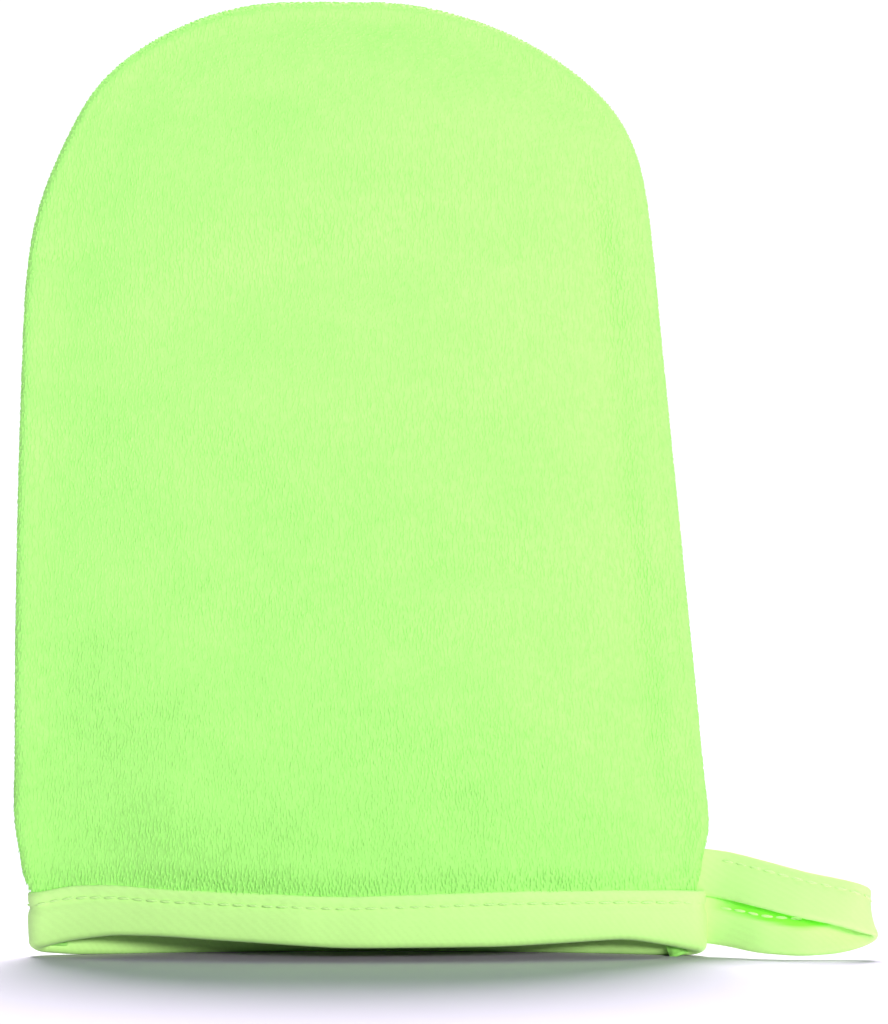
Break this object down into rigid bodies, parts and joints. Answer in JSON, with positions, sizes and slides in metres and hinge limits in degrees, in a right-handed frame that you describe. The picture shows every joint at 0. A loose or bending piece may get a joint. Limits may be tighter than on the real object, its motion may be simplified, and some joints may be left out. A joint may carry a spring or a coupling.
{
  "type": "pet grooming mitt",
  "caption": "Plush wash mitt with two sewn panels, a taped cuff and a side hanging loop that swings on its seam.",
  "frame": {"origin": "centre of the hand opening at the height of the floor that the cuff stands on", "axes": "+Z towards the fingertips, -Y out of the front panel, +X towards the seam that holds the hanging loop"},
  "size_m": [0.1895, 0.0342, 0.21],
  "materials": {
    "plush": "matte",
    "tape": "matte",
    "thread": "matte"
  },
  "bodies": {
    "root": {"front_panel": "plush", "back_panel": "plush", "cuff_tape": "tape", "cuff_needle_thread": "thread", "cuff_bobbin_thread": "thread", "seam_thread": "thread", "seam_overlock": "thread", "loop_tails": "tape"},
    "loop": {"hanging_loop": "tape", "loop_thread": "thread"}
  },
  "joints": [
    {"name": "loop_swing", "type": "hinge", "parent": "root", "child": "loop", "pos_m": [0.0772, 0, 0.0125], "axis": [0, 0, 1], "range_deg": [-105, 105]}
  ]
}
